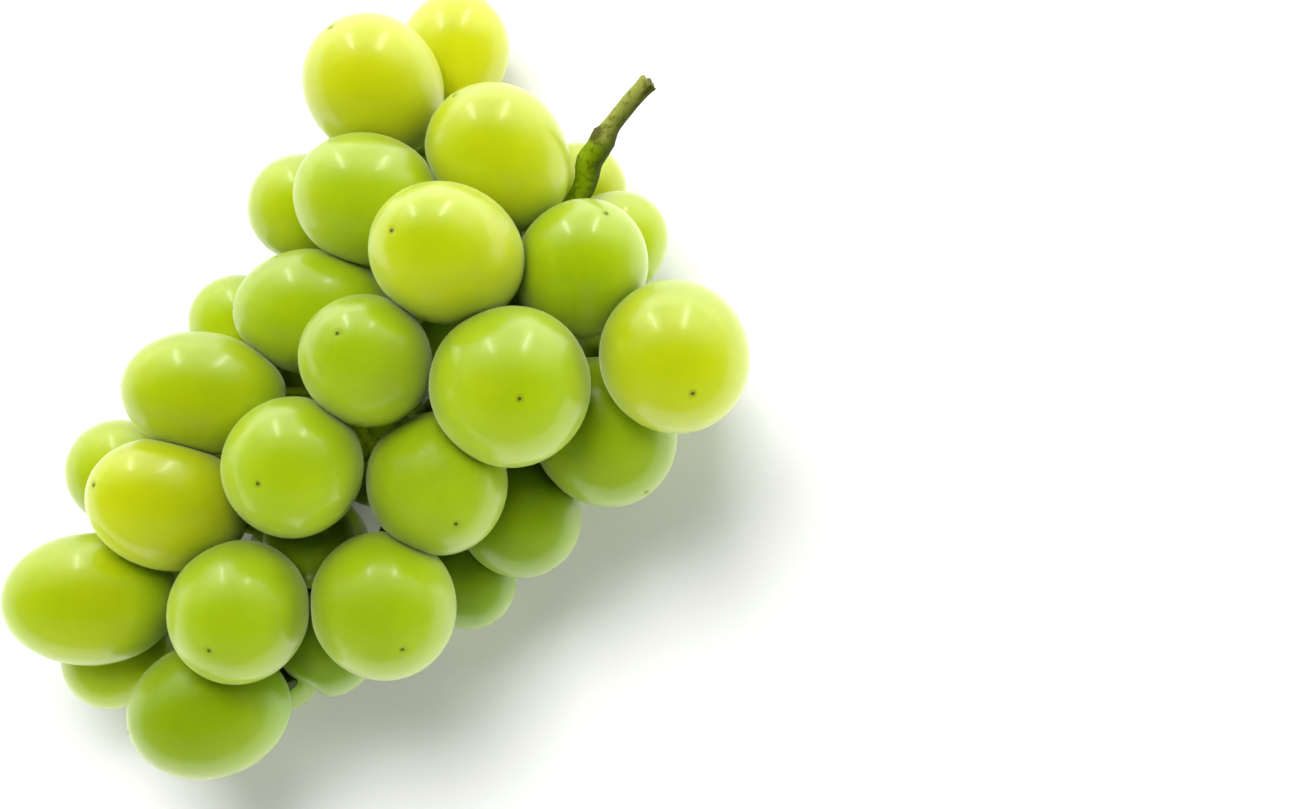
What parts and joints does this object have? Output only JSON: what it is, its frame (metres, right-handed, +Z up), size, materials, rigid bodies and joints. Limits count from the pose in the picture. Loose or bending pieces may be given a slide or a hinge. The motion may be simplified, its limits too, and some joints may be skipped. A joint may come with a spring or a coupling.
{
  "type": "bunch of grapes",
  "caption": "Loose bunch of large green table grapes lying on its side: oval to round berries on a branching stem, with a bare cut stalk at one end.",
  "frame": {"origin": "on the surface that the bunch lies on, at the middle of its box's base", "axes": "+Z up, +Y along the bunch towards the cut end of its stalk, +X across it"},
  "size_m": [0.1059, 0.1629, 0.0812],
  "materials": {
    "grape_skin": "thin translucent yellow-green grape skin, softly glossy under a light waxy bloom",
    "stem": "matt green to brown stem with small corky spots and a dry brown cut end"
  },
  "bodies": {
    "root": {"stem": "stem", "grapes_branch_01": "grape_skin", "grapes_branch_02": "grape_skin", "grapes_branch_03": "grape_skin", "grapes_branch_04": "grape_skin", "grapes_branch_05": "grape_skin", "grapes_branch_06": "grape_skin", "grapes_branch_07": "grape_skin", "grapes_branch_08": "grape_skin", "grapes_branch_09": "grape_skin", "grapes_branch_10": "grape_skin", "grapes_branch_11": "grape_skin", "grapes_branch_12": "grape_skin", "grapes_branch_13": "grape_skin", "grapes_branch_14": "grape_skin", "grapes_branch_15": "grape_skin"}
  },
  "joints": []
}
